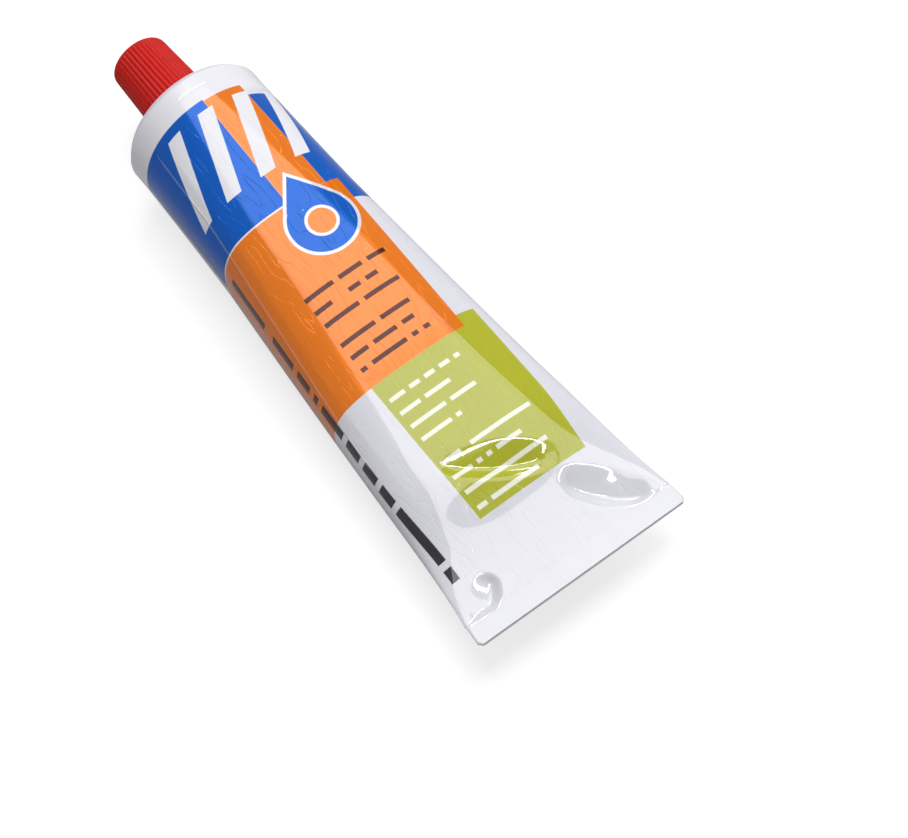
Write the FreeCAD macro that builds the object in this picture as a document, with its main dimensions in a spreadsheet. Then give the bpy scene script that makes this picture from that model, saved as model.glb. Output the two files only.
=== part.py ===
import FreeCAD, Part
import os
import Sketcher

# A full squeeze tube of sealant with a screw cap, lying on its back.
#
# Millimetres, +Z up, +X along the tube from its flat weld to its cap, Y across the weld.
# The origin lies on the floor, under the middle of the whole part.
# The tube and its head are drawn from the shoulder, on the head's axis, and placed as a whole.

SIZES = (
    ("tube_radius", 17.5, "round end of the sleeve, at the shoulder"),
    ("sleeve_length", 142.0, "from the shoulder to the end of the weld"),
    ("sleeve_fullness", 0.55, "power by which the sleeve's height closes towards the weld"),
    ("tail_pressing", 0.9, "share of that height that is pressed out of the tail"),
    ("weld_depth", 5.5, "flat welded band at the tail"),
    ("weld_thickness", 1.0, "both walls, pressed together"),
    ("weld_rise", 12.0, "weld above the sleeve's lowest line"),
    ("flat_spot_depth", 0.4, "how far the soft underside settles on the floor"),
    ("rim_width", 5.2, "straight side of the head before it turns in"),
    ("rim_round", 3.6, "radius of the head's rounded rim"),
    ("shoulder_height", 8.0, "from the sleeve's end to the foot of the neck"),
    ("neck_radius", 5.0, "crest of the neck's thread"),
    ("neck_length", 15.5, "from the shoulder to the mouth"),
    ("mouth_radius", 3.1, "blind mouth, closed by its own wall"),
    ("mouth_depth", 1.5, "depth of that mouth"),
    ("cap_base_radius", 7.9, "open end of the cap"),
    ("cap_top_radius", 7.05, "closed end of the cap"),
    ("cap_top_wall", 1.9, "end wall of the cap"),
    ("cap_top_round", 1.2, "rounded edge of that end"),
    ("cap_foot_gap", 0.5, "between the cap and the shoulder"),
    ("thread_clearance", 0.3, "between the neck and the cap's bore, all round"),
    ("rib_count", 40.0, "fine lengthwise ribs on the cap"),
    ("rib_depth", 0.32, "depth of the groove between two ribs"),
    ("groove_width", 0.7, "width of that groove at its mouth"),
    ("rib_top_gap", 1.3, "plain end of the cap past the ribs"),
    ("disc_thickness", 1.2, "liner disc in the cap"),
    ("disc_clearance", 0.15, "round the disc, and above and below it"),
)

SECTIONS = 11
OVAL_POWER = 1.68
RISE_POWER = 4
PRESSED_FROM, PRESSED_TO = 0.76, 1.02
LEVEL_FROM, LEVEL_TO = 0.7, 0.85
CUT_MARGIN = 5.0

X_AXIS = FreeCAD.Vector(1, 0, 0)
Y_AXIS = FreeCAD.Vector(0, 1, 0)
Z_AXIS = FreeCAD.Vector(0, 0, 1)
ACROSS_THE_TUBE = FreeCAD.Rotation(Y_AXIS, Z_AXIS, X_AXIS)
TURNED_TO_THE_CAP = FreeCAD.Rotation(Y_AXIS, 90)

# Lengths along the head's axis, from the sleeve's end, and the head's place in the frame.
SLEEVE_RUN = "(Sizes.sleeve_length - Sizes.weld_depth)"
MOUTH_X = "(Sizes.shoulder_height + Sizes.neck_length)"
CAP_X = "(Sizes.shoulder_height + Sizes.cap_foot_gap)"
DISC_X = f"({MOUTH_X} + Sizes.disc_clearance)"
BORE_DEPTH = f"({DISC_X} + Sizes.disc_thickness + Sizes.disc_clearance - {CAP_X})"
CAP_LENGTH = f"({BORE_DEPTH} + Sizes.cap_top_wall)"
BORE_RADIUS = "(Sizes.neck_radius + Sizes.thread_clearance)"
HEAD_X = f"((Sizes.sleeve_length - {CAP_X} - {CAP_LENGTH}) / 2)"
AXIS_HEIGHT = "(Sizes.tube_radius - Sizes.flat_spot_depth)"
HALF_WELD = "(pi / 2 * Sizes.tube_radius)"

doc = FreeCAD.newDocument("SealantTube")


def make_sheet():
    """Writes each driving size once, with its name and what it is."""
    sheet = doc.addObject("Spreadsheet::Sheet", "Sizes")
    for row, (name, value, meaning) in enumerate(SIZES, start=1):
        sheet.set(f"A{row}", name)
        sheet.set(f"B{row}", str(value))
        sheet.set(f"C{row}", meaning)
        sheet.setAlias(f"B{row}", name)
    doc.recompute()
    return sheet


def bind(feature, **expressions):
    """Ties a feature's properties to expressions on the sheet."""
    for name, expression in expressions.items():
        feature.setExpression(name, expression)


def place(feature, rotation=None, **expressions):
    """Turns a feature, then ties its place to expressions on the sheet."""
    if rotation is not None:
        feature.Placement = FreeCAD.Placement(FreeCAD.Vector(), rotation)
    for axis, expression in expressions.items():
        feature.setExpression(f"Placement.Base.{axis}", expression)


def origin_plane(body, role):
    """One of the body's own three planes."""
    return next(plane for plane in body.Origin.OriginFeatures if plane.Role == role)


def draw_outline(sketch, corners):
    """Closes straight lines through the corners, each held by its two expressions."""
    spots = [
        FreeCAD.Vector(sizes.evalExpression(across), sizes.evalExpression(up), 0)
        for across, up in corners
    ]
    for start, end in zip(spots, spots[1:] + spots[:1]):
        sketch.addGeometry(Part.LineSegment(start, end), False)
    count = len(corners)
    for line in range(count):
        sketch.addConstraint(Sketcher.Constraint("Coincident", line, 2, (line + 1) % count, 1))
    for line, ((across, up), spot) in enumerate(zip(corners, spots)):
        hold_point(sketch, line, "DistanceX", spot.x, across, -2)
        hold_point(sketch, line, "DistanceY", spot.y, up, -1)


def hold_point(sketch, line, kind, value, expression, axis):
    """Holds a line's start on a sketch axis, or at a tied distance from it."""
    if expression == "0":
        sketch.addConstraint(Sketcher.Constraint("PointOnObject", line, 1, axis))
        return
    number = sketch.addConstraint(Sketcher.Constraint(kind, -1, 1, line, 1, value))
    sketch.setExpression(f"Constraints[{number}]", expression)


def add_sketch(body, name, role, corners, height=None):
    """A closed outline on one of the body's planes, or at a height above it."""
    sketch = body.newObject("Sketcher::SketchObject", name)
    sketch.AttachmentSupport = (origin_plane(body, role), [""])
    sketch.MapMode = "FlatFace"
    if height is not None:
        sketch.setExpression("AttachmentOffset.Base.z", height)
    draw_outline(sketch, corners)
    return sketch


def add_turning(body, name, sketch):
    """A full turn of a sketch about its upright axis."""
    turning = body.newObject("PartDesign::Revolution", name)
    turning.Profile = sketch
    turning.ReferenceAxis = (sketch, ["V_Axis"])
    turning.Angle = 360
    doc.recompute()
    return turning


def circle_at(feature, height, radius):
    """The name of the feature's circular edge at a height with a radius."""
    for number, edge in enumerate(feature.Shape.Edges, start=1):
        curve = edge.Curve
        if not isinstance(curve, Part.Circle):
            continue
        if abs(curve.Center.z - height) < 1e-4 and abs(curve.Radius - radius) < 1e-4:
            return f"Edge{number}"
    raise ValueError(f"no circle of radius {radius} at {height} on {feature.Name}")


def add_round(body, name, feature, height, radius, size):
    """Rounds one circular edge."""
    edge = circle_at(feature, sizes.evalExpression(height), sizes.evalExpression(radius))
    rounding = body.newObject("PartDesign::Fillet", name)
    rounding.Base = (feature, [edge])
    rounding.setExpression("Radius", size)
    doc.recompute()
    return rounding


def smooth_step(share, start, end):
    """Rises smoothly from 0 to 1 while a share of the sleeve's run goes from start to end."""
    reached = f"min(1; max(0; ({share} - {start}) / ({end} - {start})))"
    return f"({reached}^2 * (3 - 2 * {reached}))"


def make_sleeve():
    """The filled sleeve: round at the shoulder, then ovals of one girth that close to the weld.

    The ovals are crowded towards the weld, where the sleeve closes fast. Their lowest points lie
    in one line on the floor, which lifts towards the weld. The tail's walls are pressed together
    past what is left inside, level with the weld.
    """
    ovals = []
    for number in range(SECTIONS + 1):
        left = f"(1 - {number} / {SECTIONS})^2"
        share = f"(1 - {left})"
        filled = (
            "((Sizes.tube_radius - Sizes.weld_thickness / 2)"
            f" * ({left})^Sizes.sleeve_fullness)"
        )
        full_height = f"(Sizes.weld_thickness / 2 + {filled})"
        width = (
            f"(Sizes.tube_radius + ({HALF_WELD} - Sizes.tube_radius)"
            f" * (1 - ({full_height} / Sizes.tube_radius)^{OVAL_POWER}))"
        )
        pressed = f"Sizes.tail_pressing * {smooth_step(share, PRESSED_FROM, PRESSED_TO)}"
        height = f"(Sizes.weld_thickness / 2 + {filled} * (1 - {pressed}))"
        resting = f"({full_height} - Sizes.tube_radius + Sizes.weld_rise * {share}^{RISE_POWER})"
        level = "(Sizes.weld_thickness / 2 - Sizes.tube_radius + Sizes.weld_rise)"
        to_level = f"({level} - {resting}) * {smooth_step(share, LEVEL_FROM, LEVEL_TO)}"
        oval = doc.addObject("Part::Ellipse", f"Oval{number}")
        bind(oval, MajorRadius=width, MinorRadius=height)
        place(
            oval,
            ACROSS_THE_TUBE,
            x=f"-{SLEEVE_RUN} * {share}",
            z=f"{resting} + {to_level}",
        )
        ovals.append(oval)
    sleeve = doc.addObject("Part::Loft", "Sleeve")
    sleeve.Sections = ovals
    sleeve.Solid = True
    sleeve.MaxDegree = 3
    return sleeve


def make_weld():
    """The flat welded band across the tail, as wide as half the sleeve's girth."""
    weld = doc.addObject("Part::Box", "Weld")
    bind(
        weld,
        Length="Sizes.weld_depth",
        Width=f"2 * {HALF_WELD}",
        Height="Sizes.weld_thickness",
    )
    place(
        weld,
        x="-Sizes.sleeve_length",
        y=f"-{HALF_WELD}",
        z="Sizes.weld_rise - Sizes.tube_radius",
    )
    return weld


def make_head():
    """The moulded head: rounded rim, sloping shoulder, and a neck with a blind mouth."""
    body = doc.addObject("PartDesign::Body", "Head")
    corners = (
        ("0", "0"),
        ("Sizes.tube_radius", "0"),
        ("Sizes.tube_radius", "Sizes.rim_width"),
        ("Sizes.neck_radius", "Sizes.shoulder_height"),
        ("Sizes.neck_radius", MOUTH_X),
        ("Sizes.mouth_radius", MOUTH_X),
        ("Sizes.mouth_radius", f"{MOUTH_X} - Sizes.mouth_depth"),
        ("0", f"{MOUTH_X} - Sizes.mouth_depth"),
    )
    turning = add_turning(body, "HeadTurning", add_sketch(body, "HeadOutline", "XZ_Plane", corners))
    add_round(body, "RimRound", turning, "Sizes.rim_width", "Sizes.tube_radius", "Sizes.rim_round")
    place(body, TURNED_TO_THE_CAP)
    return body


def make_tube():
    """The sealed tube in one piece, with the flat spot on which it lies."""
    whole = doc.addObject("Part::MultiFuse", "WholeTube")
    whole.Shapes = [make_sleeve(), make_weld(), make_head()]
    floor = doc.addObject("Part::Box", "FloorCut")
    bind(
        floor,
        Length=f"Sizes.sleeve_length + {MOUTH_X} + {2 * CUT_MARGIN}",
        Width=f"2 * {HALF_WELD} + {2 * CUT_MARGIN}",
        Height=f"{CUT_MARGIN}",
    )
    place(
        floor,
        x=f"-Sizes.sleeve_length - {CUT_MARGIN}",
        y=f"-{HALF_WELD} - {CUT_MARGIN}",
        z=f"-{AXIS_HEIGHT} - {CUT_MARGIN}",
    )
    tube = doc.addObject("Part::Cut", "Tube")
    tube.Base = whole
    tube.Tool = floor
    tube.Label = "tube"
    place(tube, x=HEAD_X, z=AXIS_HEIGHT)
    return tube


def side_radius(height):
    """The cap's outside radius at a height above its open end."""
    slope = f"(Sizes.cap_top_radius - Sizes.cap_base_radius) / {CAP_LENGTH}"
    return f"(Sizes.cap_base_radius + {slope} * {height})"


def groove_corners(height):
    """A pointed groove in the cap's side, its mouth as far outside as it is deep."""
    outside = f"({side_radius(height)} + Sizes.rib_depth)"
    return (
        (f"{side_radius(height)} - Sizes.rib_depth", "0"),
        (outside, "Sizes.groove_width"),
        (outside, "-Sizes.groove_width"),
    )


def make_cap():
    """The hollow screw cap, drawn upright on its open end, with ribs round its side."""
    body = doc.addObject("PartDesign::Body", "Cap")
    body.Label = "cap"
    corners = (
        (BORE_RADIUS, "0"),
        ("Sizes.cap_base_radius", "0"),
        ("Sizes.cap_top_radius", CAP_LENGTH),
        ("0", CAP_LENGTH),
        ("0", BORE_DEPTH),
        (BORE_RADIUS, BORE_DEPTH),
    )
    turning = add_turning(body, "CapTurning", add_sketch(body, "CapOutline", "XZ_Plane", corners))
    add_round(body, "CapRound", turning, CAP_LENGTH, "Sizes.cap_top_radius", "Sizes.cap_top_round")
    top = f"({CAP_LENGTH} - Sizes.rib_top_gap)"
    foot_sketch = add_sketch(body, "GrooveFoot", "XY_Plane", groove_corners("0"))
    top_sketch = add_sketch(body, "GrooveTop", "XY_Plane", groove_corners(top), top)
    groove = body.newObject("PartDesign::SubtractiveLoft", "Groove")
    groove.Profile = foot_sketch
    groove.Sections = [top_sketch]
    doc.recompute()
    ribs = body.newObject("PartDesign::PolarPattern", "Ribs")
    ribs.Originals = [groove]
    ribs.Axis = (foot_sketch, ["N_Axis"])
    ribs.Angle = 360
    ribs.setExpression("Occurrences", "Sizes.rib_count")
    body.Tip = ribs
    place(body, TURNED_TO_THE_CAP, x=f"{HEAD_X} + {CAP_X}", z=AXIS_HEIGHT)
    return body


def make_sealing_disc():
    """The soft liner disc between the neck's mouth and the cap's end wall."""
    disc = doc.addObject("Part::Cylinder", "SealingDisc")
    disc.Label = "sealing_disc"
    bind(disc, Radius=f"{BORE_RADIUS} - Sizes.disc_clearance", Height="Sizes.disc_thickness")
    place(disc, TURNED_TO_THE_CAP, x=f"{HEAD_X} + {DISC_X}", z=AXIS_HEIGHT)
    return disc


def check_model(parts):
    """Stops on any failed object and on any sub-part without a sound solid."""
    for item in doc.Objects:
        if "Invalid" in item.State or "Error" in item.State:
            raise RuntimeError(f"{item.Name} failed: {item.State}")
    for part in parts:
        shape = part.Shape
        if shape.isNull() or not shape.isValid() or not shape.Solids:
            raise RuntimeError(f"{part.Label} has no sound solid")
        box = shape.BoundBox
        print(
            f"{part.Label}: {len(shape.Solids)} solid, {shape.Volume:.1f} mm3, "
            f"x {box.XMin:.2f} to {box.XMax:.2f}, y {box.YMin:.2f} to {box.YMax:.2f}, "
            f"z {box.ZMin:.2f} to {box.ZMax:.2f}"
        )


sizes = make_sheet()
parts = (make_tube(), make_cap(), make_sealing_disc())
doc.recompute()
check_model(parts)

os.makedirs("parts", exist_ok=True)
for part in parts:
    part.Shape.exportStep(f"parts/{part.Label}.step")
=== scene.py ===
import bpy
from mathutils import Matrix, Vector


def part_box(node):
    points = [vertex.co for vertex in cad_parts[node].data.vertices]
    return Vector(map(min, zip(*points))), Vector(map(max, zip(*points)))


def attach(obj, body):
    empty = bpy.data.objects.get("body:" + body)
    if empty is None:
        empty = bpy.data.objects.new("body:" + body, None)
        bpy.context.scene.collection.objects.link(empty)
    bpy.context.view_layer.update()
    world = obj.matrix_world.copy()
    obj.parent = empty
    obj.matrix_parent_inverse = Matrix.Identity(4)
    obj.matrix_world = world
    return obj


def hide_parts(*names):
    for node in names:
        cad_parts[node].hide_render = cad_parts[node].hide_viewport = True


bl_info = {
    "name": "Squeeze tube of sealant",
    "version": (1, 0, 0),
    "blender": (4, 5, 0),
    "location": "View3D > Sidebar > Tube",
    "description": "A full printed squeeze tube with a ribbed screw cap, and the stage it lies on",
    "category": "Object",
}

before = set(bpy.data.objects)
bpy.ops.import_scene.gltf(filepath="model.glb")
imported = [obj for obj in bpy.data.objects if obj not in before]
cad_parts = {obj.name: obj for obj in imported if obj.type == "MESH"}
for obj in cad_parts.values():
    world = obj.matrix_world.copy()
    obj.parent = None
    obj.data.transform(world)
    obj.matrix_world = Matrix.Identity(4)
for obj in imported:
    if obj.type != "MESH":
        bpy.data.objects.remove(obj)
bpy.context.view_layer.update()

import math

import bpy
import numpy as np
from mathutils import Matrix, Vector

MM = 0.001

CAP_LOW, CAP_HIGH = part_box("cap")
DISC_LOW, DISC_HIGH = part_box("sealing_disc")
AXIS_Z = (CAP_LOW.z + CAP_HIGH.z) / 2
PICTURE_WIDTH = 908

# The film's sheet, in mm. Its start is counted from the shoulder.
SHEET_MAP = "Sheet"
SHEET_START = -3.4
SHEET_LENGTH = 145.4
SHEET_GIRTH = 110.0


def length_property(name, description, default):
    """A length in metres, as the sidebar shows it."""
    return bpy.props.FloatProperty(
        name=name, description=description, default=default, unit="LENGTH", precision=5
    )


def angle_property(name, description, degrees):
    """An angle, which is kept in radians and shown in degrees."""
    return bpy.props.FloatProperty(
        name=name, description=description, default=math.radians(degrees), subtype="ANGLE"
    )


def number_property(name, description, default):
    """A plain number."""
    return bpy.props.FloatProperty(name=name, description=description, default=default)


def colour_property(name, description, default):
    """A colour, as scene linear red, green and blue."""
    return bpy.props.FloatVectorProperty(
        name=name, description=description, default=default, subtype="COLOR", size=3, min=0, max=1
    )


class SleeveSettings(bpy.types.PropertyGroup):
    """Sizes of the printed sleeve and its weld."""

    shoulder_x: length_property("Shoulder", "Where the sleeve's round end meets the head", 0.05755)
    radius: length_property("Radius", "Round end of the sleeve", 0.0175)
    straight: length_property("Straight rim", "How far the film runs on over the head", 0.0034)
    run: length_property("Run", "From the shoulder to the weld", 0.1365)
    weld_depth: length_property("Weld depth", "Flat welded band at the tail", 0.0055)
    weld_thickness: length_property("Weld thickness", "Both walls, pressed together", 0.001)
    weld_flare: length_property("Weld flare", "How much wider the band ends than it starts", 0.0005)
    weld_height: length_property("Weld height", "Middle of the weld above the floor", 0.0121)
    squareness: number_property("Squareness", "Power of the oval section where it is fullest", 2.88)
    crease_rise: length_property("Crease", "How far the long crease stands out", 0.0003)


class HeadSettings(bpy.types.PropertyGroup):
    """Sizes of the moulded head and neck."""

    rim_round: length_property("Rim round", "Radius of the head's rounded rim", 0.0036)
    rim_width: length_property("Rim width", "Straight side before the rim turns in", 0.0052)
    shoulder_height: length_property("Shoulder height", "Up to the foot of the neck", 0.008)
    neck_root: length_property("Neck root", "Radius of the neck between its threads", 0.0044)
    neck_crest: length_property("Neck crest", "Radius of the neck's thread", 0.005)
    neck_length: length_property("Neck length", "From the shoulder to the mouth", 0.0155)
    mouth_radius: length_property("Mouth", "Radius of the blind mouth", 0.0031)
    mouth_depth: length_property("Mouth depth", "Depth of the blind mouth", 0.0015)
    pitch: length_property("Pitch", "Rise of the thread in one turn", 0.0027)


class CapSettings(bpy.types.PropertyGroup):
    """Sizes of the screw cap."""

    base_radius: length_property("Base radius", "Open end of the cap", 0.0079)
    top_radius: length_property("Top radius", "Closed end of the cap", 0.00705)
    top_round: length_property("Top round", "Rounded edge of the closed end", 0.0014)
    bore: length_property("Bore", "Radius inside, past the thread", 0.0053)
    end_wall: length_property("End wall", "Thickness of the closed end", 0.0019)
    rib_depth: length_property("Rib depth", "Depth of the valleys between ribs", 0.00024)
    ribs: bpy.props.IntProperty(name="Ribs", description="Fine lengthwise ribs", default=40)
    colour: colour_property("Cap colour", "Moulded red plastic", (0.60, 0.006, 0.002))


class PrintSettings(bpy.types.PropertyGroup):
    """Colours of the printed film."""

    film: colour_property("Film", "White film", (0.72, 0.72, 0.78))
    blue: colour_property("Blue", "Field by the shoulder", (0.0, 0.10, 0.50))
    orange: colour_property("Orange", "Field along the middle", (0.80, 0.185, 0.003))
    green: colour_property("Green", "Field towards the tail", (0.43, 0.45, 0.008))
    brown: colour_property("Brown", "Bars on the orange field", (0.075, 0.014, 0.006))
    black: colour_property("Black", "Bars on the white film", (0.012, 0.012, 0.016))


class StageSettings(bpy.types.PropertyGroup):
    """Camera and light."""

    azimuth: angle_property("Azimuth", "Camera's direction round the tube", -113.686)
    elevation: angle_property("Elevation", "Camera's height above the horizon", 59.284)
    roll: angle_property("Roll", "Camera's turn about its own axis", -14.366)
    distance: length_property("Distance", "From the camera to the point it looks at", 1.0485)
    focal_pixels: number_property("Focal length", "In pixels of a picture 908 wide", 4856.3)
    target: bpy.props.FloatVectorProperty(
        name="Target", description="Point that the camera looks at", subtype="XYZ",
        default=(-0.03756, -0.00032, 0.015)
    )
    lamp_radiance: number_property("Soft lamp", "Brightness of the lamp the film mirrors", 3.5)
    strip_radiance: number_property("Strip lamps", "Brightness of the narrow lamps beside it", 42.0)
    fill_radiance: number_property("Fill", "Brightness of the lamp that only lights", 1.5)
    sky: number_property("Sky", "Even light from all round", 0.36)


SETTINGS = {
    "tube_sleeve": SleeveSettings,
    "tube_head": HeadSettings,
    "tube_cap": CapSettings,
    "tube_print": PrintSettings,
    "tube_stage": StageSettings,
}


# Materials


class Value:
    """A socket in a material. Python sums on it add Math nodes."""

    def __init__(self, recipe, socket):
        self.recipe = recipe
        self.socket = socket

    def math(self, operation, *terms, clamp=False):
        """One Math node with this value first."""
        inputs = dict(enumerate((self, *terms)))
        settings = {"operation": operation, "use_clamp": clamp}
        return self.recipe.node("ShaderNodeMath", settings, inputs)

    def __add__(self, other):
        return self.math("ADD", other)

    def __radd__(self, other):
        return self.math("ADD", other)

    def __sub__(self, other):
        return self.math("SUBTRACT", other)

    def __rsub__(self, other):
        return self.recipe.number(other).math("SUBTRACT", self)

    def __mul__(self, other):
        return self.math("MULTIPLY", other)

    def __rmul__(self, other):
        return self.math("MULTIPLY", other)

    def __truediv__(self, other):
        return self.math("DIVIDE", other)

    def __abs__(self):
        return self.math("ABSOLUTE")

    def most(self, other):
        """The larger of two values."""
        return self.math("MAXIMUM", other)

    def least(self, other):
        """The smaller of two values."""
        return self.math("MINIMUM", other)

    def inside(self, softness):
        """A mask from a signed distance in mm: 1 inside the edge and 0 outside."""
        return (0.5 - self / softness).math("ADD", 0.0, clamp=True)


class Recipe:
    """Builds the nodes of one material, or of the world."""

    def __init__(self, name, kind="materials"):
        self.block = getattr(bpy.data, kind).new(name)
        self.block.use_nodes = True
        self.tree = self.block.node_tree
        self.tree.nodes.clear()

    def node(self, kind, settings=None, inputs=None, output=0):
        """One node of a type, with its settings set first and then its sockets."""
        made = self.tree.nodes.new(kind)
        for name, value in (settings or {}).items():
            setattr(made, name, value)
        for name, value in (inputs or {}).items():
            if isinstance(value, Value):
                self.tree.links.new(value.socket, made.inputs[name])
            else:
                made.inputs[name].default_value = value
        return Value(self, made.outputs[output]) if len(made.outputs) else None

    def number(self, value):
        """A plain number that a sum starts with."""
        return self.node("ShaderNodeMath", {"operation": "ADD"}, {0: value, 1: 0.0})

    def mix(self, factor, first, second):
        """A blend of two colours."""
        inputs = {0: factor, 6: rgba(first), 7: rgba(second)}
        return self.node("ShaderNodeMix", {"data_type": "RGBA"}, inputs, output=2)

    def split(self, vector):
        """The three numbers of a vector."""
        return [self.node("ShaderNodeSeparateXYZ", None, {0: vector}, output=i) for i in range(3)]

    def join(self, x, y, z):
        """A vector from three numbers."""
        return self.node("ShaderNodeCombineXYZ", None, {0: x, 1: y, 2: z})

    def noise(self, vector, scale, detail):
        """A smooth random number at each place."""
        inputs = {"Vector": vector, "Scale": scale, "Detail": detail}
        return self.node("ShaderNodeTexNoise", None, inputs)

    def bump(self, height, distance):
        """A normal bent by a height in units of the distance."""
        return self.node("ShaderNodeBump", None, {"Height": height, "Distance": distance})

    def plastic(self, inputs):
        """A Principled surface."""
        return self.node("ShaderNodeBsdfPrincipled", None, inputs)

    def seen(self, gloss):
        """1 for the camera and clear things, and a share of it for reflections."""
        ways = ("Is Camera Ray", "Is Transmission Ray", "Is Glossy Ray")
        camera, clear, glossy = (self.node("ShaderNodeLightPath", output=way) for way in ways)
        return camera.most(clear).most(glossy * gloss)

    def finish(self, shader, output="ShaderNodeOutputMaterial"):
        """Feeds the surface of the material or world."""
        self.node(output, None, {"Surface": shader})
        return self.block


def rgba(colour):
    """A colour with its alpha, or a linked colour as it is."""
    return colour if isinstance(colour, Value) else (*colour, 1.0)


# Print. All places are in mm on the sheet: along from the shoulder, around from the top.

INK_EDGE = 0.14
BAR_EDGE = 0.16

# Fields: low and high along, low and high around
ORANGE_FIELD = (35.3, 81.3, -31.0, 14.1)
ORANGE_STRIPE = (3.6, 35.3, 0.8, 10.7)
BLUE_LEFT = (3.2, 35.0, -28.5, 0.8)
BLUE_RIGHT = (6.8, 41.3, 10.7, 24.0)
GREEN_FIELD = (78.1, 119.2, -10.5, 18.8)
FIELD_LINE = (34.95, 35.35, -29.0, 0.8)
SLANTED_FIELD = (5.6, 26.5, -18.6, 18.2)

# Slanted bars by the shoulder, and how far the paper white runs on behind them
SLANT, SLANT_CENTRE = 0.34, 15
SLANTED_PITCH, SLANTED_SHIFT = 9.2, 90.8
SLANTED_HALF_WIDTH = 2.0
HEAD_ZONE = 6.0

# Drop: centre along and around, radius and distance to its tip. Then its edges, going inwards
DROP = (42.9, 4.4, 8.4, 14.6)
DROP_OUTLINE, RING_OUTSIDE, RING_INSIDE = 0.75, 4.6, 5.3

# Rows of small bars: first row, pitch, rows, thickness, start, reach and shortest bar. Then the
# share of places with a bar, how far bars overlap, and how much shorter a row may end
BROWN_ROWS = ((56.2, 3.7, 3, 1.15, -9.8, 21.6, 1.5), (69.4, 3.7, 3, 1.15, -9.8, 21.6, 1.5))
PALE_ROWS = ((86.3, 3.85, 4, 1.05, -9.2, 18.8, 1.3), (104.9, 4.05, 4, 1.05, -9.4, 23.0, 1.3))
SIDE_ROW = (-23.4, 8.0, 1, 2.2, 36.5, 90.5, 1.7)
SIDE_LEAN, SIDE_LEAN_FROM = 0.022, 125
NOTE_ROWS = (37.0, 2.3, 6, 0.75, 14.0, 96.0, 1.2)
BAR_SHARE, BAR_OVERLAP = 0.78, 0.15
SHORTENING, SHORTENING_STEP = 0.38, 0.618

# Past every edge of the sheet
FAR = 150

# Folded line in the film beside the flattened front. It is a real raised fold, and along it the ink
# is paled towards the film's white as a painted highlight
FOLD_AROUND, FOLD_LEAN, FOLD_LEAN_FROM = 15.7, 0.09, 25
FOLD_ENDS = (4.0, 96.0)
FOLD_HALF_WIDTH = 0.4

# Relief of the film, with heights in mm
SWELL_HEIGHT, HAIRLINE_HEIGHT, FOLD_HEIGHT = 0.6, 0.035, 0.4
HAIRLINE_STEPS, HAIRLINE_SHARPNESS = 9.0, 14.0
HAIRLINE_ENDS = (5.0, 140.0)

PAPER = (0.79, 0.79, 0.84)
LINE_COLOUR = (0.9, 0.72, 0.68)
PALE_BAR_COLOUR = (0.86, 0.87, 0.72)


def box_distance(along, around, low_along, high_along, low_around, high_around):
    """How far a place lies outside a rectangle on the sheet, in mm."""
    side = abs(along - (low_along + high_along) / 2) - (high_along - low_along) / 2
    end = abs(around - (low_around + high_around) / 2) - (high_around - low_around) / 2
    return side.most(end)


def word_bars(recipe, along, around, first, pitch, rows, thick, start, reach, word):
    """Rows of plain bars, broken at uneven places, as a stand-in for lines of print."""
    row = ((along - (first - pitch / 2)) / pitch).math("FLOOR")
    centre = row * pitch + first
    across = abs(along - centre) - thick / 2
    column = ((around - start) / word).math("FLOOR")
    place = recipe.join(column, row, first)
    chance = recipe.node("ShaderNodeTexWhiteNoise", None, {"Vector": place})
    gap_middle = (column + 0.5) * word + start
    filled = chance.math("LESS_THAN", BAR_SHARE)
    gap = word / 2 + BAR_OVERLAP - abs(around - gap_middle) - filled * word
    short = (row * SHORTENING_STEP).math("FRACT") * (reach * SHORTENING / word)
    short = short.math("FLOOR")
    end = short * -word + (start + word * round(reach / word))
    inside_row = (around - end).most(start - around)
    last = first + pitch * (rows - 0.5)
    block = box_distance(along, around, first - pitch / 2, last, -FAR, FAR)
    return across.most(gap).most(inside_row).most(block).inside(BAR_EDGE)


def inside_ends(along, start, end):
    """A mask between two places along the sheet, with ends that fade over 4 mm."""
    return (along - start).least(end - along).math("MULTIPLY", 0.25, clamp=True)


def drop_distance(along, around, centre_along, centre_around, radius, tip):
    """How far a place lies outside a drop that points to the cap, in mm."""
    forward = centre_along - along
    sideways = around - centre_around
    disc = (forward * forward + sideways * sideways).math("SQRT") - radius
    lean = radius / tip
    flank = abs(sideways) * math.sqrt(1 - lean * lean) + forward * lean - radius
    cone = flank.most(radius * lean - forward)
    return disc.least(cone)


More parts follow.
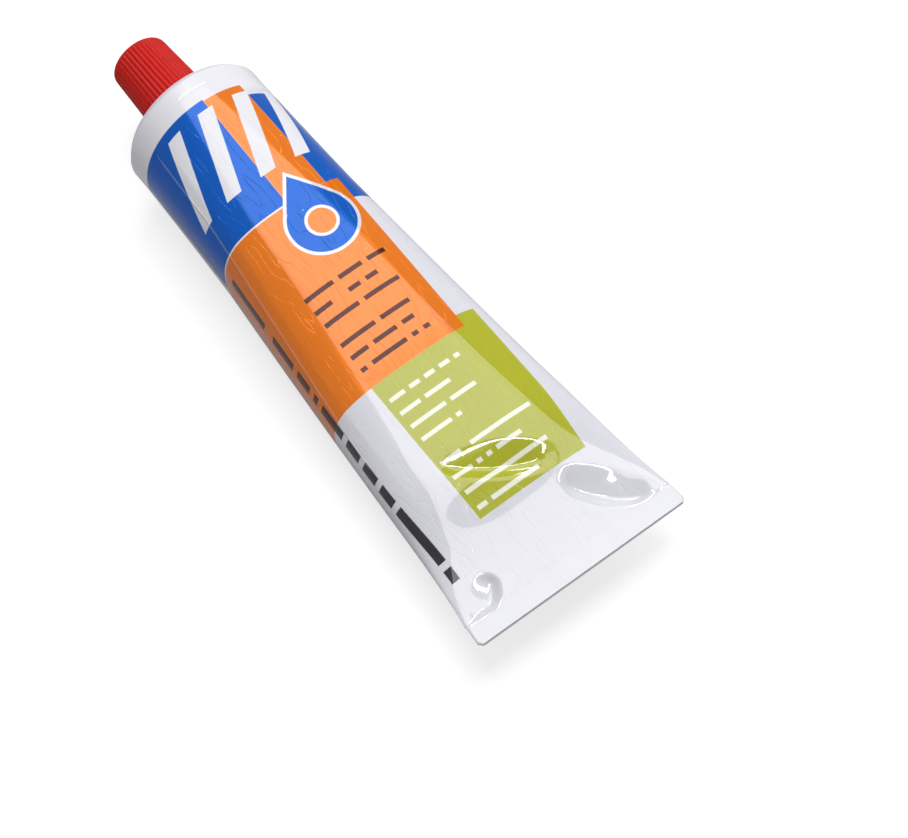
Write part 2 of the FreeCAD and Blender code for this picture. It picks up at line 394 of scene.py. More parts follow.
def film_material(settings):
    """Glossy white film with its printed fields."""
    recipe = Recipe("printed_film")
    sheet = recipe.node("ShaderNodeUVMap", {"uv_map": SHEET_MAP})
    share_along, share_around, _ = recipe.split(sheet)
    along = share_along * SHEET_LENGTH + SHEET_START
    around = (share_around - 0.5) * SHEET_GIRTH

    def field(places):
        return box_distance(along, around, *places).inside(INK_EDGE)

    def rows(pair):
        upper, lower = (word_bars(recipe, along, around, *row) for row in pair)
        return upper.most(lower)

    def stretched_noise(scale_along, scale_around, seed, detail):
        place = recipe.join(along * scale_along, around * scale_around, seed)
        return recipe.noise(place, 1.0, detail)

    orange, stripe = field(ORANGE_FIELD), field(ORANGE_STRIPE)
    oranges = orange.most(stripe)
    blue_left = field(BLUE_LEFT)
    blues = blue_left.most(field(BLUE_RIGHT))
    green = field(GREEN_FIELD)

    slant = around + (along - SLANT_CENTRE) * SLANT
    phase = (slant + SLANTED_SHIFT).math("MODULO", SLANTED_PITCH)
    bars = abs(phase - SLANTED_PITCH / 2) - SLANTED_HALF_WIDTH
    bars = bars.most(box_distance(along, slant, *SLANTED_FIELD)).inside(INK_EDGE)

    drop = drop_distance(along, around, *DROP)
    in_outline = (drop + DROP_OUTLINE).inside(INK_EDGE)
    in_ring = (drop + RING_OUTSIDE).inside(INK_EDGE)

    by_head = ((HEAD_ZONE - along) * 0.5).math("ADD", 0.0, clamp=True)
    paper = bars.most(by_head * (1 - blue_left.most(stripe)))
    letters = rows(BROWN_ROWS)
    ink = recipe.mix(green, recipe.mix(paper, settings.film, PAPER), settings.green)
    ink = recipe.mix(blues, ink, settings.blue)
    ink = recipe.mix(oranges, ink, settings.orange)
    ink = recipe.mix(field(FIELD_LINE), ink, LINE_COLOUR)
    ink = recipe.mix(bars, ink, PAPER)
    ink = recipe.mix(drop.inside(INK_EDGE), ink, settings.film)
    ink = recipe.mix(in_outline, ink, settings.blue)
    ink = recipe.mix(in_ring, ink, settings.film)
    ink = recipe.mix((drop + RING_INSIDE).inside(INK_EDGE), ink, settings.orange)
    ink = recipe.mix(letters, ink, settings.brown)
    ink = recipe.mix(rows(PALE_ROWS), ink, PALE_BAR_COLOUR)

    flank = around - (SIDE_LEAN_FROM - along) * SIDE_LEAN
    side = word_bars(recipe, flank, along, *SIDE_ROW)
    ink = recipe.mix(side, ink, recipe.mix(orange, settings.black, settings.brown))

    fold_and_highlight = abs(around + FOLD_AROUND + (along - FOLD_LEAN_FROM).most(0) * FOLD_LEAN)
    fold_and_highlight = (FOLD_HALF_WIDTH - fold_and_highlight).most(0) * inside_ends(along, *FOLD_ENDS)
    # Painted highlight: the ink is paled towards the film's white along the fold line
    ink = recipe.mix(fold_and_highlight * 0.5, ink, settings.film)

    notes = word_bars(recipe, abs(around), along, *NOTE_ROWS)
    ink = recipe.mix(notes * 0.75, ink, settings.black)

    # Slow swells of the soft film, and hair-like lines where a noise crosses whole steps
    swell = stretched_noise(0.011, 0.085, 0.0, 1.0)
    grain = stretched_noise(0.035, 0.16, 3.0, 2.0)
    contour = abs((grain * HAIRLINE_STEPS).math("FRACT") - 0.5)
    hairline = (contour * HAIRLINE_SHARPNESS).math("ADD", 0.0, clamp=True)
    hairline = hairline * inside_ends(along, *HAIRLINE_ENDS)
    height = swell * SWELL_HEIGHT + hairline * HAIRLINE_HEIGHT + fold_and_highlight * FOLD_HEIGHT

    # Each ink has its own sheen and gloss
    wear = stretched_noise(0.2, 0.2, 7.0, 3.0)
    in_drop = in_outline * (1 - in_ring)
    blues = (blues * (1 - bars)).most(in_drop)
    oranges = oranges * (1 - bars) * (1 - in_drop)
    gloss = 1 - blues * 0.75 - oranges * 0.4 - letters * 0.3 - green * 0.15 - paper * 0.6
    shader = recipe.plastic(
        {
            "Base Color": ink,
            "Metallic": blues * 0.16 + oranges * 0.12,
            "Roughness": wear * 0.08 + 0.08,
            "IOR": 1.48,
            "Specular IOR Level": 0.1,
            "Coat Weight": gloss,
            "Coat Roughness": 0.03,
            "Coat IOR": 1.5,
            "Normal": recipe.bump(height, MM),
        }
    )
    return recipe.finish(shader)


def moulded_material(name, colour, roughness, grain_scale, grain_depth):
    """Moulded plastic with a faint grain and slightly uneven gloss."""
    recipe = Recipe(name)
    place = recipe.node("ShaderNodeTexCoord", output="Object")
    grain = recipe.noise(place, grain_scale, 3.0)
    cloud = recipe.noise(place, 160.0, 2.0)
    deep = tuple(c * 0.88 for c in colour)
    shader = recipe.plastic(
        {
            "Base Color": recipe.mix(cloud, deep, colour),
            "Roughness": cloud * 0.14 + (roughness - 0.07),
            "IOR": 1.5,
            "Specular IOR Level": 0.16,
            "Normal": recipe.bump(grain, grain_depth),
        }
    )
    return recipe.finish(shader)


def foam_material():
    """Closed-cell foam of the liner disc."""
    recipe = Recipe("liner_foam")
    place = recipe.node("ShaderNodeTexCoord", output="Object")
    cells = recipe.node("ShaderNodeTexVoronoi", None, {"Vector": place, "Scale": 3200.0})
    cloud = recipe.noise(place, 500.0, 2.0)
    shader = recipe.plastic(
        {
            "Base Color": recipe.mix(cloud, (0.68, 0.67, 0.62), (0.80, 0.79, 0.74)),
            "Roughness": cloud * 0.15 + 0.7,
            "Normal": recipe.bump(cells, 0.00006),
        }
    )
    return recipe.finish(shader)


# Shapes. Lengths are in metres where no comment says mm.

# Cells of the sleeve's sheet
ALONG_STEPS = 300
AROUND_STEPS = 288

# The sleeve's sections. Places along it are shares of its run from the shoulder to the weld.
FULLNESS = 0.55
TAIL_RISE = 0.012
TAIL_PRESSING, PRESSED_FROM, PRESSED_TO = 0.9, 0.76, 1.02
LEVEL_FROM, LEVEL_TO = 0.7, 0.85
MIDDLE_WIDENING = 0.00063
POWER_PLACES = (0, 0.25, 0.75, 0.93, 1.0)
ROUND_POWER, PRESSED_POWER, FLAT_POWER = 2, 2.3, 3.5
SECTION_POINTS, QUARTER_POINTS = 2881, 81
FIT_ROUNDS, FIT_SHARE = 9, 0.9
WELD_CORNER = 0.0009

# Dents, in mm on the sheet: middle along and around, half length, half width, lean in degrees
# and slope
DENTS = (
    (109.9, 0.6, 13.8, 4.0, 30.0, 0.21),
    (128.4, 17.2, 10.8, 4.3, 46.0, 0.305),
    (133.2, -21.3, 6.6, 3.7, -46.0, 0.28),
)

# Edges of the dents, where the film under the tail follows them, and where they end, in mm
DENT_BEND = 0.7
WALL_BEFORE, WALL_PAST = 1.8, 1.4
DENT_ENDS = 0.35
FOLLOW_FROM, FOLLOW_TO = 110.0, 126.0
SIDE_FROM, SIDE_TO = 24.5, 27.0
WELD_FROM, WELD_TO = 134.6, 137.0

# Crease: its line on the sheet, its fall to each side, and where it rises and ends, in mm
CREASE_ALONG = (0, 30, 80, 110, 136)
CREASE_AROUND = (-12.3, -13.0, -18.0, -19.0, -20.0)
CREASE_FALLS = (2.6, 3.6)
CREASE_START = (2, 16)
CREASE_END = (95, 125)

# Threads: steps along a threaded wall, how near a point lies to it, half the ridge's share of
# the pitch, how full the ridge is and how fast it runs out
WALL_STEPS = 84
ON_WALL = 0.00003
RIDGE_HALF_SHARE, RIDGE_GAIN, THREAD_FADE = 0.24, 1.7, 1.4

# Head: its gap to the film, where its back lies past the shoulder, its wall and its steps round
FILM_GAP = 0.00004
HEAD_BACK, HEAD_WALL = 0.001, 0.0012
ROUND_STEPS = 96

# Neck: the hollow round its foot, rounded edges outside and inside its mouth, and where its
# wall and thread end
FOOT_REACH, FOOT_OUT = 0.0006, 0.0007
FOOT_RISE, FOOT_IN, FOOT_END = 0.0001, 0.0002, 0.0004
NECK_EDGE, MOUTH_EDGE = 0.0004, 0.0003
WALL_END, THREAD_END = 0.0005, 0.0006

# Cap: its rounded rim, the chamfer of its mouth, where its side is cut into rings, its steps
# round, the middle of its top, the ends of its bore and the run of its inner thread
RIM, RIM_FLAT = 0.0003, 0.0005
CHAMFER_DEEP, CHAMFER_IN, CHAMFER_OUT = 0.0004, 0.0002, 0.0006
SIDE_SHARES = (0.06, 0.12, 0.5, 0.82, 0.9, 0.96, 1.0)
STEPS_PER_RIB = 8
TOP_MIDDLE = 0.0035
BORE_START, BORE_STOP, BORE_EDGE = 0.0006, 0.001, 0.0004
INNER_LOW, INNER_HIGH, INNER_RISE = 0.0012, 0.0024, 0.0003

# Ribs: how sharp they are, where their valleys end at the top and start at the open end, and
# how deep the valleys are there
RIB_POWER = 0.8
RIB_TOP, RIB_PAST_TOP = 0.0002, 0.0009
RIB_FROM, RIB_TO = 0.0001, 0.0012
RIB_FOOT = 0.35

# Liner disc: its rounded edge, the radius of its seat, and the slope, depth and width of the
# pressed ring
DISC_EDGE, SEAT_RADIUS = 0.00015, 0.0049
RING_SLOPE, RING_DEPTH, RING_WIDTH = 0.0002, 0.00008, 0.0014


def clear_selection():
    """Nothing is selected before a piece is added."""
    if bpy.context.object and bpy.context.object.mode != "OBJECT":
        bpy.ops.object.mode_set(mode="OBJECT")
    bpy.ops.object.select_all(action="DESELECT")


def select_where(piece, kind, test):
    """In edit mode, selects the piece's vertices or faces that pass a test."""
    bpy.ops.mesh.select_all(action="DESELECT")
    bpy.ops.object.mode_set(mode="OBJECT")
    mesh = piece.data
    for vertex in mesh.vertices:
        vertex.select = kind == "VERT" and test(vertex.co)
    if kind == "FACE":
        for face in mesh.polygons:
            face.select = test(face)
    bpy.ops.object.mode_set(mode="EDIT")


def dress(piece, name, body, slot, material, *nodes):
    """Names a finished piece, gives it its body and material and hides the nodes it replaces. Its
    slot is not used.
    """
    piece.name = name
    piece.data.name = name
    piece.data.materials.clear()
    piece.data.materials.append(material)
    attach(piece, body)
    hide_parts(*nodes)


def ease(low, high, value):
    """A smooth step from 0 at low to 1 at high."""
    share = np.clip((value - low) / (high - low), 0, 1)
    return share * share * (3 - 2 * share)


def oval_point(angle, power):
    """A point of a unit oval that squares up with its power."""
    across, up = np.cos(angle), np.sin(angle)
    return (
        np.sign(across) * np.abs(across) ** (2 / power),
        np.sign(up) * np.abs(up) ** (2 / power),
    )


def half_width(half_height, power, radius):
    """Half width of an oval whose girth is the round end's."""
    across, up = oval_point(np.linspace(0, math.pi / 2, QUARTER_POINTS), power)
    width = radius
    for _ in range(FIT_ROUNDS):
        girth = np.hypot(np.diff(width * across), np.diff(half_height * up)).sum()
        width += (math.pi / 2 * radius - girth) * FIT_SHARE
    return width


def sleeve_ring(settings, share, around_shares):
    """Across and height of one section of the sleeve."""
    radius, wall = settings.radius, settings.weld_thickness / 2
    fullness = max(1 - share, 0) ** FULLNESS
    plain = wall + (radius - wall) * fullness
    pressed = TAIL_PRESSING * ease(PRESSED_FROM, PRESSED_TO, share)
    height = wall + (radius - wall) * fullness * (1 - pressed)
    most = settings.squareness
    width_power = ROUND_POWER + (most - ROUND_POWER) * min(1, 4 * share)
    powers = (ROUND_POWER, most, most, PRESSED_POWER, FLAT_POWER)
    power = np.interp(share, POWER_PLACES, powers)
    width = half_width(plain, width_power, radius) + MIDDLE_WIDENING * 4 * share * (1 - share)
    middle = AXIS_Z + plain - radius + TAIL_RISE * share**4
    middle += (settings.weld_height - middle) * ease(LEVEL_FROM, LEVEL_TO, share)
    angle = np.linspace(-math.pi / 2, 1.5 * math.pi, SECTION_POINTS)
    across, up = oval_point(angle, power)
    across, up = width * across, height * up
    return resample(across, up, around_shares, middle)


def resample(across, up, around_shares, middle):
    """Points of a section at equal shares of its girth."""
    run = np.concatenate([[0], np.cumsum(np.hypot(np.diff(across), np.diff(up)))])
    at = around_shares * run[-1]
    y = np.interp(at, run, across)
    z = np.interp(at, run, up)
    return y, middle + z


def band_ring(settings, reach, around_shares, thin):
    """One section of the flat welded band. Reach runs from 0 at its start to 1 at its end."""
    half = math.pi / 2 * settings.radius - settings.weld_flare * (1 - reach)
    corner = max(WELD_CORNER - (1 - reach) * settings.weld_depth, 0)
    half -= WELD_CORNER - math.sqrt(WELD_CORNER**2 - corner**2)
    wall = settings.weld_thickness / 2 * thin
    corners_y = np.array([0, half, half, -half, -half, 0])
    corners_z = np.array([-wall, -wall, wall, wall, -wall, -wall])
    return resample(corners_y, corners_z, around_shares, settings.weld_height)


def sleeve_points(settings, along_shares, around_shares):
    """The whole sleeve's points, row by row from the head to the weld's end."""
    rows = []
    total = settings.straight + settings.run + settings.weld_depth
    for share in along_shares:
        run = share * total - settings.straight
        x = settings.shoulder_x - run
        if run <= 0:
            y, z = sleeve_ring(settings, 0.0, around_shares)
        elif run < settings.run:
            y, z = sleeve_ring(settings, run / settings.run, around_shares)
        else:
            reach = (run - settings.run) / settings.weld_depth
            y, z = band_ring(settings, reach, around_shares, 1.0 if share < 1 else 0.0)
        rows.append(np.stack([np.full_like(y, x), y, z], 1))
    return np.array(rows)


def dent_depth(along, around):
    """How far the dents stand out at each place of the sheet, in mm, so it is negative."""
    depth = np.zeros_like(along)
    for mid_along, mid_around, long_half, short_half, lean, slope in DENTS:
        turn = math.radians(lean)
        from_along, from_around = along - mid_along, around - mid_around
        long_way = (from_around * math.cos(turn) + from_along * math.sin(turn)) / long_half
        short_way = from_along * math.cos(turn) - from_around * math.sin(turn)
        reach = short_half * np.sqrt(np.clip(1 - long_way**2, 0, 1))
        past = np.maximum(short_way + reach, 0)
        ramp = past**2 / (past + DENT_BEND)
        wall = 1 - ease(reach - WALL_BEFORE, reach + WALL_PAST, short_way)
        depth -= slope * ramp * wall * ease(0, DENT_ENDS, 1 - np.abs(long_way))
    return depth


def crease(along, around):
    """The long crease down one side of the flattened front, as a share of its rise."""
    side = around - np.interp(along, CREASE_ALONG, CREASE_AROUND)
    outer, inner = CREASE_FALLS
    bend = np.where(side < 0, np.exp(side / outer), np.exp(-side / inner))
    return bend * ease(*CREASE_START, along) * (1 - ease(*CREASE_END, along))


def outset(along, around, crease_rise):
    """How far the film stands off its plain section, in mm. The film under the tail follows."""
    under = np.abs(around) > SHEET_GIRTH / 4
    fold_over = np.sign(around) * (SHEET_GIRTH / 2 - np.abs(around))
    above = np.where(under, fold_over, around)
    off = dent_depth(along, above) * np.where(under, -ease(FOLLOW_FROM, FOLLOW_TO, along), 1.0)
    off *= (1 - ease(SIDE_FROM, SIDE_TO, np.abs(above))) * (1 - ease(WELD_FROM, WELD_TO, along))
    return off + crease(along, around) * crease_rise / MM


def outward(points):
    """The outward direction at each point of the sheet."""
    away = np.cross(np.gradient(points, axis=0), np.gradient(points, axis=1))
    return away / np.maximum(np.linalg.norm(away, axis=2, keepdims=True), 1e-12)


class TUBE_OT_sleeve(bpy.types.Operator):
    """Lay out the printed film sleeve and its welded tail"""

    bl_idname = "tube.sleeve"
    bl_label = "Sleeve"

    def execute(self, context):
        settings = context.scene.tube_sleeve
        clear_selection()
        bpy.ops.mesh.primitive_grid_add(
            x_subdivisions=ALONG_STEPS, y_subdivisions=AROUND_STEPS, size=2
        )
        piece = context.object
        piece.data.uv_layers[0].name = SHEET_MAP
        flat = np.empty(len(piece.data.vertices) * 3)
        piece.data.vertices.foreach_get("co", flat)
        flat = flat.reshape(-1, 3)
        columns = np.rint((flat[:, 0] + 1) / 2 * ALONG_STEPS).astype(int)
        rows = np.rint((flat[:, 1] + 1) / 2 * AROUND_STEPS).astype(int)
        along_shares = np.linspace(0, 1, ALONG_STEPS + 1)
        around_shares = np.linspace(0, 1, AROUND_STEPS + 1)
        # The last row closes the weld's end, just past the row before it
        along_shares[-2] = 1.0 - 1e-9
        points = sleeve_points(settings, along_shares, around_shares)
        total = settings.straight + settings.run + settings.weld_depth
        run = (along_shares * total - settings.straight) / MM
        around = (around_shares - 0.5) * SHEET_GIRTH
        grid = np.meshgrid(run, around, indexing="ij")
        points += outward(points) * outset(*grid, settings.crease_rise)[..., None] * MM
        points[..., 2] = np.maximum(points[..., 2], 0)
        piece.data.vertices.foreach_set("co", points[columns, rows].ravel())
        bpy.ops.object.mode_set(mode="EDIT")
        bpy.ops.mesh.select_all(action="SELECT")
        bpy.ops.mesh.remove_doubles(threshold=1e-6)
        bpy.ops.mesh.normals_make_consistent(inside=False)
        bpy.ops.object.mode_set(mode="OBJECT")
        bpy.ops.object.shade_smooth_by_angle(angle=math.radians(40))
        material = film_material(context.scene.tube_print)
        dress(piece, "printed_sleeve", "tube_body", "tube_wall", material, "tube")
        return {"FINISHED"}


def turned_profile(profile, steps):
    """An outline of x and radius, spun about the head's axis."""
    clear_selection()
    mesh = bpy.data.meshes.new("outline")
    corners = [(x, 0.0, AXIS_Z + r) for x, r in profile]
    mesh.from_pydata(corners, [(i, i + 1) for i in range(len(profile) - 1)], [])
    piece = bpy.data.objects.new("outline", mesh)
    bpy.context.collection.objects.link(piece)
    piece.select_set(True)
    bpy.context.view_layer.objects.active = piece
    bpy.ops.object.mode_set(mode="EDIT")
    bpy.ops.mesh.select_all(action="SELECT")
    bpy.ops.mesh.spin(steps=steps, angle=2 * math.pi, center=(0, 0, AXIS_Z), axis=(1, 0, 0))
    bpy.ops.mesh.select_all(action="SELECT")
    bpy.ops.mesh.remove_doubles(threshold=2e-6)
    bpy.ops.mesh.normals_make_consistent(inside=False)
    bpy.ops.object.mode_set(mode="OBJECT")
    return piece


def arc(centre_x, centre_r, radius, start, end, count):
    """Points of an arc in the x and radius plane, angles in degrees from the radius direction."""
    angles = [math.radians(start + (end - start) * i / count) for i in range(count + 1)]
    return [(centre_x + radius * math.sin(a), centre_r + radius * math.cos(a)) for a in angles]


def straight_wall(start, end, radius):
    """Points of a straight wall, close enough together for a thread."""
    return [(start + (end - start) * i / WALL_STEPS, radius) for i in range(WALL_STEPS + 1)]


def twist_thread(piece, low_x, high_x, pitch, root, crest):
    """Raises a helical ridge on a turned wall between two places along its axis."""
    for vertex in piece.data.vertices:
        place = vertex.co
        away = Vector((0, place.y, place.z - AXIS_Z))
        size = away.length
        if not low_x - 1e-6 <= place.x <= high_x + 1e-6 or abs(size - root) > ON_WALL:
            continue
        turn = math.atan2(away.z, away.y) / (2 * math.pi)
        phase = (place.x / pitch - turn) % 1
        ridge = max(0.0, 1 - abs(phase - 0.5) / RIDGE_HALF_SHARE)
        ridge = min(1.0, ridge * RIDGE_GAIN)
        from_end = min(place.x - low_x, high_x - place.x)
        fade = min(1.0, from_end / pitch * THREAD_FADE)
        vertex.co += away * ((crest - root) * ridge * max(0.0, fade) / size)


class TUBE_OT_head(bpy.types.Operator):
    """Turn the white moulded head with its threaded neck"""

    bl_idname = "tube.head"
    bl_label = "Head"

    def execute(self, context):
        settings = context.scene.tube_head
        sleeve = context.scene.tube_sleeve
        start = sleeve.shoulder_x
        radius = sleeve.radius - FILM_GAP
        rim_x = start + settings.rim_width
        foot_x = start + settings.shoulder_height
        slope = math.degrees(math.atan2(foot_x - rim_x, radius - settings.neck_root))
        bend = settings.rim_round
        reach = bend * math.tan(math.radians(90 - slope) / 2)
        neck_start = foot_x + FOOT_END
        mouth_x = foot_x + settings.neck_length
        back_x = start + HEAD_BACK
        profile = [(back_x, radius - HEAD_WALL), (back_x, radius)]
        profile += arc(rim_x - reach, radius - bend, bend, 0, 90 - slope, 14)
        profile += [
            (foot_x - FOOT_REACH * math.sin(math.radians(slope)), settings.neck_root + FOOT_OUT),
            (foot_x + FOOT_RISE, settings.neck_root + FOOT_IN),
        ]
        profile += straight_wall(neck_start, mouth_x - WALL_END, settings.neck_root)
        edge, inner = NECK_EDGE, MOUTH_EDGE
        profile += arc(mouth_x - edge, settings.neck_root - edge, edge, 0, 90, 4)
        profile += arc(mouth_x - inner, settings.mouth_radius + inner, -inner, -90, 0, 3)
        profile += [
            (mouth_x - settings.mouth_depth, settings.mouth_radius),
            (mouth_x - settings.mouth_depth, 0.0),
        ]
        piece = turned_profile(profile, ROUND_STEPS)
        walls = (settings.neck_root, settings.neck_crest)
        twist_thread(piece, neck_start, mouth_x - THREAD_END, settings.pitch, *walls)
        close_back(piece, back_x, radius - HEAD_WALL)
        for vertex in piece.data.vertices:
            vertex.co.z = max(vertex.co.z, 0.0)
        bpy.ops.object.shade_smooth_by_angle(angle=math.radians(35))
        film = tuple(context.scene.tube_print.film)
        material = moulded_material(
            "head_plastic", film, roughness=0.32, grain_scale=900.0, grain_depth=0.00002
        )
        dress(piece, "threaded_head", "tube_body", "tube_wall", material, "tube")
        return {"FINISHED"}


def close_back(piece, x, radius):
    """Closes the open ring at the back of the head."""
    inner = radius + HEAD_WALL / 4
    bpy.ops.object.mode_set(mode="EDIT")
    select_where(
        piece, "VERT", lambda place: abs(place.x - x) < 1e-5 and ring_radius(place) < inner
    )
    bpy.ops.mesh.edge_face_add()
    bpy.ops.mesh.select_all(action="SELECT")
    bpy.ops.mesh.normals_make_consistent(inside=False)
    bpy.ops.object.mode_set(mode="OBJECT")


def ring_radius(place):
    """Distance of a place from the head's axis."""
    return math.hypot(place.y, place.z - AXIS_Z)


class TUBE_OT_cap(bpy.types.Operator):
    """Turn the hollow red screw cap and raise its ribs"""

    bl_idname = "tube.cap"
    bl_label = "Cap"

    def execute(self, context):
        settings = context.scene.tube_cap
        low, high = CAP_LOW.x, CAP_HIGH.x
        steps = settings.ribs * STEPS_PER_RIB
        top = settings.top_round
        mouth = (low + CHAMFER_DEEP, settings.bore + CHAMFER_IN)
        outline = [mouth, (low, settings.bore + CHAMFER_OUT)]
        outline += [(low, settings.base_radius - RIM_FLAT)]
        outline += arc(low + RIM, settings.base_radius - RIM, RIM, -90, 0, 3)[1:]
        side_end = high - top
        for share in SIDE_SHARES:
            x = low + RIM + (side_end - low - RIM) * share
            outline.append((x, self.side(settings, x, low, high)))
        outline += arc(side_end, self.side(settings, side_end, low, high) - top, top, 0, 90, 8)[1:]
        outline += [(high, TOP_MIDDLE), (high, 0.0)]
        piece = turned_profile(outline, steps)
        self.raise_ribs(piece, settings, low, side_end)

        bore_end = high - settings.end_wall
        inside = [mouth]
        inside += straight_wall(low + BORE_START, bore_end - BORE_STOP, settings.bore)
        inside += [(bore_end - BORE_EDGE, settings.bore), (bore_end, settings.bore - BORE_EDGE)]
        inside += [(bore_end, 0.0)]
        bore = turned_profile(inside, steps)
        head = context.scene.tube_head
        walls = (settings.bore, head.neck_root + INNER_RISE)
        twist_thread(bore, low + INNER_LOW, bore_end - INNER_HIGH, head.pitch, *walls)
        piece.select_set(True)
        context.view_layer.objects.active = piece
        bpy.ops.object.join()
        bpy.ops.object.mode_set(mode="EDIT")
        bpy.ops.mesh.select_all(action="SELECT")
        bpy.ops.mesh.remove_doubles(threshold=2e-5)
        bpy.ops.mesh.normals_make_consistent(inside=False)
        bpy.ops.object.mode_set(mode="OBJECT")
        bpy.ops.object.shade_smooth_by_angle(angle=math.radians(38))
        red = tuple(settings.colour)
        material = moulded_material(
            "cap_plastic", red, roughness=0.46, grain_scale=1400.0, grain_depth=0.00003
        )
        dress(piece, "ribbed_cap", "cap_body", "cap", material, "cap")
        return {"FINISHED"}

    @staticmethod
    def side(settings, x, low, high):
        """The tapered side's radius."""
        share = (x - low) / (high - low)
        return settings.base_radius + (settings.top_radius - settings.base_radius) * share

    @staticmethod
    def raise_ribs(piece, settings, low, side_end):
        """Sinks rounded valleys between the ribs, shallow at the open end and gone at the top."""
        for vertex in piece.data.vertices:
            place = vertex.co
            away = Vector((0, place.y, place.z - AXIS_Z))
            size = away.length
            if size < settings.top_radius - settings.top_round * 0.72 or place.x < low + 0.0002:
                continue
            turn = math.atan2(away.z, away.y) / (2 * math.pi) * settings.ribs
            wave = abs(math.sin(math.pi * turn))
            valley = 1 - wave**RIB_POWER
            fade = 1 - float(ease(side_end - RIB_TOP, side_end + RIB_PAST_TOP, place.x))
            foot = RIB_FOOT + (1 - RIB_FOOT) * float(ease(low + RIB_FROM, low + RIB_TO, place.x))
            vertex.co -= away * (settings.rib_depth * valley * fade * foot / size)


class TUBE_OT_liner(bpy.types.Operator):
    """Cut the soft liner disc inside the cap"""

    bl_idname = "tube.liner"
    bl_label = "Liner disc"

    def execute(self, context):
        radius = (DISC_HIGH.z - DISC_LOW.z) / 2
        thick = DISC_HIGH.x - DISC_LOW.x
        clear_selection()
        bpy.ops.mesh.primitive_cylinder_add(
            vertices=ROUND_STEPS,
            radius=radius,
            depth=thick,
            location=((DISC_LOW.x + DISC_HIGH.x) / 2, 0, AXIS_Z),
            rotation=(0, math.pi / 2, 0),
        )
        piece = context.object
        bpy.ops.object.transform_apply(location=True, rotation=True, scale=True)
        bpy.ops.object.mode_set(mode="EDIT")
        bpy.ops.mesh.select_mode(type="FACE")
        select_where(piece, "FACE", lambda face: face.normal.x < -0.9)
        bpy.ops.mesh.inset(thickness=radius - SEAT_RADIUS, depth=0)
        bpy.ops.mesh.inset(thickness=RING_SLOPE, depth=-RING_DEPTH)
        bpy.ops.mesh.inset(thickness=RING_WIDTH, depth=0)
        bpy.ops.mesh.inset(thickness=RING_SLOPE, depth=RING_DEPTH)
        bpy.ops.object.mode_set(mode="OBJECT")
        rounding = piece.modifiers.new("Edge", "BEVEL")
        rounding.width = DISC_EDGE
        rounding.segments = 2
        rounding.limit_method = "ANGLE"
        bpy.ops.object.modifier_apply(modifier=rounding.name)
        bpy.ops.object.shade_smooth_by_angle(angle=math.radians(35))
        dress(piece, "liner_disc", "liner_body", "liner", foam_material(), "sealing_disc")
        return {"FINISHED"}


# Stage

FLOOR_SIZE, FLOOR_DROP = 6, 0.0001
FLOOR_COLOUR = (0.45, 0.45, 0.46)
FLOOR_GLOW, FLOOR_IN_GLOSS, SKY_IN_GLOSS = 0.7, 0.15, 0.4

# Lamps: place and size
LAMP_AIM = (-0.02, 0, 0.02)
SOFTBOX = ((0.13, -0.19, 0.88), (0.62, 0.58))
STRIPS = {"tail_strip": (-0.235, -0.19, 0.86), "cap_strip": (0.48, -0.18, 0.72)}
STRIP_SIZE = (0.6, 0.042)
FILL = ((0.25, -0.65, 0.8), (1.0, 1.0))


def stand(thing, place, side, up, back):
    """Puts a lamp or camera at a place, with its own three axes."""
    turn = Matrix((side, up, back)).transposed().to_4x4()
    thing.matrix_world = Matrix.Translation(place) @ turn


def pale_material(name, colour, glow, gloss):
    """A pale matt surface that glows for the camera, and by a share of it in gloss."""
    recipe = Recipe(name)
    matt = recipe.node("ShaderNodeBsdfDiffuse", None, {"Color": (*colour, 1.0)})
    light = recipe.node("ShaderNodeEmission", None, {"Strength": glow})
    both = recipe.node("ShaderNodeAddShader", None, {0: matt, 1: light})
    shader = recipe.node("ShaderNodeMixShader", None, {0: recipe.seen(gloss), 1: matt, 2: both})
    return recipe.finish(shader)


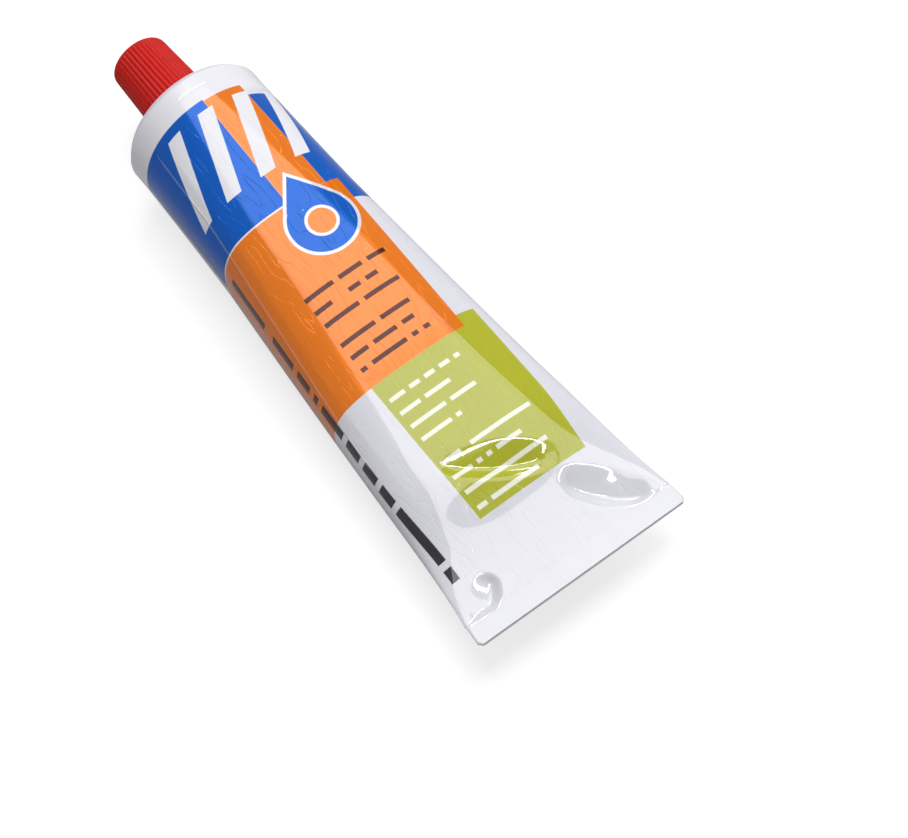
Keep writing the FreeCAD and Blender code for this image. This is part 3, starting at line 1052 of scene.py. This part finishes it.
class TUBE_OT_stage(bpy.types.Operator):
    """Set the pale floor, the soft light and the camera"""

    bl_idname = "tube.stage"
    bl_label = "Stage"

    def execute(self, context):
        settings = context.scene.tube_stage
        clear_selection()
        bpy.ops.mesh.primitive_plane_add(size=FLOOR_SIZE, location=(0, 0, -FLOOR_DROP))
        floor = context.object
        floor.name = "floor"
        material = pale_material("pale_floor", FLOOR_COLOUR, FLOOR_GLOW, FLOOR_IN_GLOSS)
        floor.data.materials.append(material)
        self.hang_lamp("softbox", *SOFTBOX, settings.lamp_radiance)
        for name, place in STRIPS.items():
            strip = self.hang_lamp(name, place, STRIP_SIZE, settings.strip_radiance)
            strip.visible_diffuse = False
        fill = self.hang_lamp("fill", *FILL, settings.fill_radiance)
        fill.visible_glossy = False
        self.set_world(context, settings.sky)
        self.set_camera(context, settings)
        context.scene.view_settings.view_transform = "Standard"
        return {"FINISHED"}

    @staticmethod
    def hang_lamp(name, place, size, radiance):
        """A flat rectangular lamp that faces the tube. Its second side lies along the tube."""
        data = bpy.data.lights.new(name, "AREA")
        data.shape = "RECTANGLE"
        data.size, data.size_y = size
        data.energy = radiance * math.pi * size[0] * size[1]
        lamp = bpy.data.objects.new(name, data)
        bpy.context.collection.objects.link(lamp)
        back = (Vector(place) - Vector(LAMP_AIM)).normalized()
        up = (Vector((1, 0, 0)) - back * back.x).normalized()
        stand(lamp, place, up.cross(back), up, back)
        return lamp

    @staticmethod
    def set_world(context, sky):
        """Even light, which the camera sees as white and gloss as part white."""
        recipe = Recipe("plain_sky", "worlds")
        dim, white = (
            recipe.node("ShaderNodeBackground", None, {"Color": (1, 1, 1, 1), "Strength": strength})
            for strength in (sky, 1.0)
        )
        inputs = {0: recipe.seen(SKY_IN_GLOSS), 1: dim, 2: white}
        shader = recipe.node("ShaderNodeMixShader", None, inputs)
        context.scene.world = recipe.finish(shader, "ShaderNodeOutputWorld")

    @staticmethod
    def set_camera(context, settings):
        """The camera at the photograph's angle."""
        azimuth, elevation, roll = settings.azimuth, settings.elevation, settings.roll
        level = math.cos(elevation)
        back = Vector((math.sin(azimuth) * level, -math.cos(azimuth) * level, math.sin(elevation)))
        right = Vector((0, 0, 1)).cross(back).normalized()
        up = back.cross(right)
        side = right * math.cos(roll) + up * math.sin(roll)
        top = up * math.cos(roll) - right * math.sin(roll)
        data = bpy.data.cameras.new("camera")
        data.sensor_width = 36
        data.lens = settings.focal_pixels / PICTURE_WIDTH * data.sensor_width
        data.clip_start, data.clip_end = 0.01, 20
        camera = bpy.data.objects.new("camera", data)
        context.collection.objects.link(camera)
        stand(camera, Vector(settings.target) + back * settings.distance, side, top, back)
        context.scene.camera = camera


class TUBE_PT_panel(bpy.types.Panel):
    """The tube's sizes, colours and steps"""

    bl_idname = "TUBE_PT_panel"
    bl_label = "Squeeze tube"
    bl_space_type = "VIEW_3D"
    bl_region_type = "UI"
    bl_category = "Tube"

    def draw(self, context):
        for step in STEPS:
            self.layout.operator(step.bl_idname)
        for name, group in SETTINGS.items():
            box = self.layout.box()
            box.label(text=group.__doc__)
            for setting in group.__annotations__:
                box.prop(getattr(context.scene, name), setting)


STEPS = (TUBE_OT_stage, TUBE_OT_sleeve, TUBE_OT_head, TUBE_OT_cap, TUBE_OT_liner)


def register():
    """Adds the settings, the steps and the panel."""
    for name, group in SETTINGS.items():
        bpy.utils.register_class(group)
        setattr(bpy.types.Scene, name, bpy.props.PointerProperty(type=group))
    for item in (*STEPS, TUBE_PT_panel):
        bpy.utils.register_class(item)


def unregister():
    """Takes them away again."""
    for item in (TUBE_PT_panel, *reversed(STEPS)):
        bpy.utils.unregister_class(item)
    for name, group in SETTINGS.items():
        delattr(bpy.types.Scene, name)
        bpy.utils.unregister_class(group)


def main():
    """Builds the stage and every piece."""
    register()
    bpy.ops.tube.stage()
    bpy.ops.tube.sleeve()
    bpy.ops.tube.head()
    bpy.ops.tube.cap()
    bpy.ops.tube.liner()


if __name__ == "__main__":
    main()
